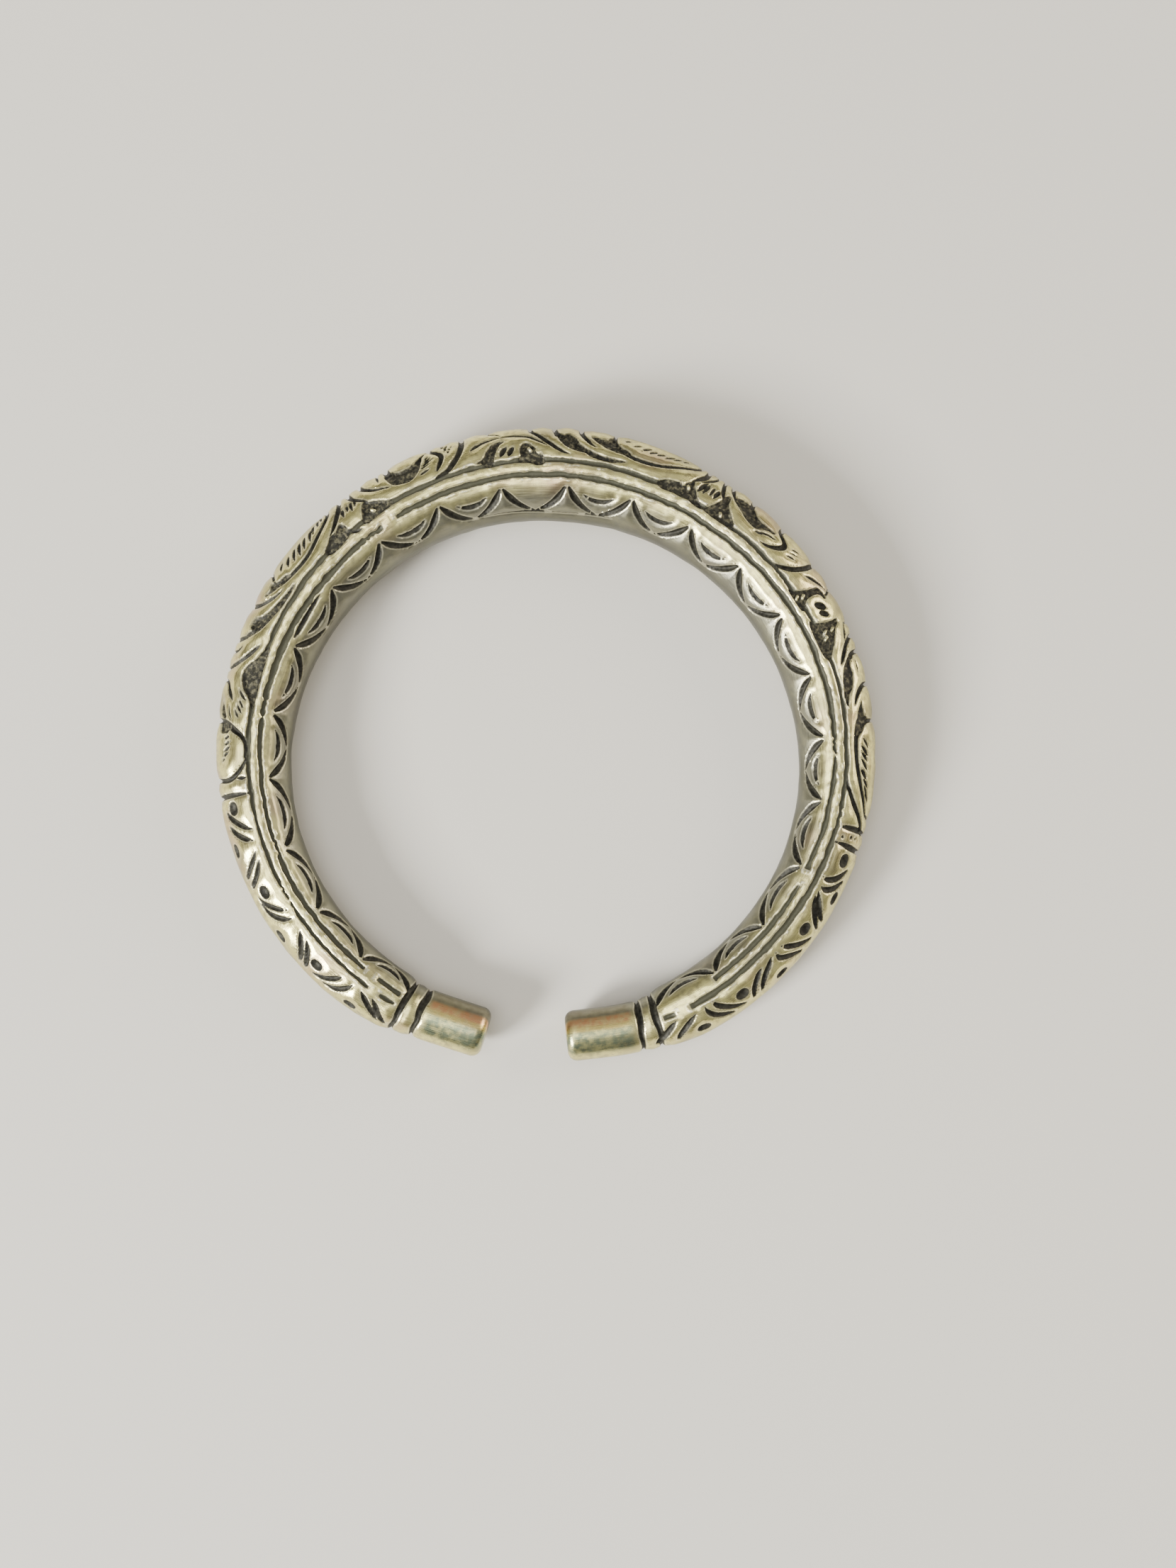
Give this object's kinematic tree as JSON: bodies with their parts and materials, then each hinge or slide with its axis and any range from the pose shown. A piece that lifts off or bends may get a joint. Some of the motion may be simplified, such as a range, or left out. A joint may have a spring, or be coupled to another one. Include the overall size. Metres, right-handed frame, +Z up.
{
  "type": "kada bangle",
  "caption": "Open round-bar bangle, thick at the back and tapering to plain ends, carved with a vine, slanted strokes, border grooves and scallops; worn round the wrist.",
  "frame": {"origin": "centre of the box's underside, on the surface that the bangle lies on", "axes": "+Z up along the ring's axis, +X across the ring, +Y towards the thick back, with the mouth towards -Y"},
  "size_m": [0.0784, 0.0754, 0.0107],
  "materials": {
    "oxidised_silver": "oxidised silver, dark in the cuts and worn bright on the high places"
  },
  "bodies": {
    "root": {"kada_bar": "oxidised_silver"}
  },
  "joints": []
}
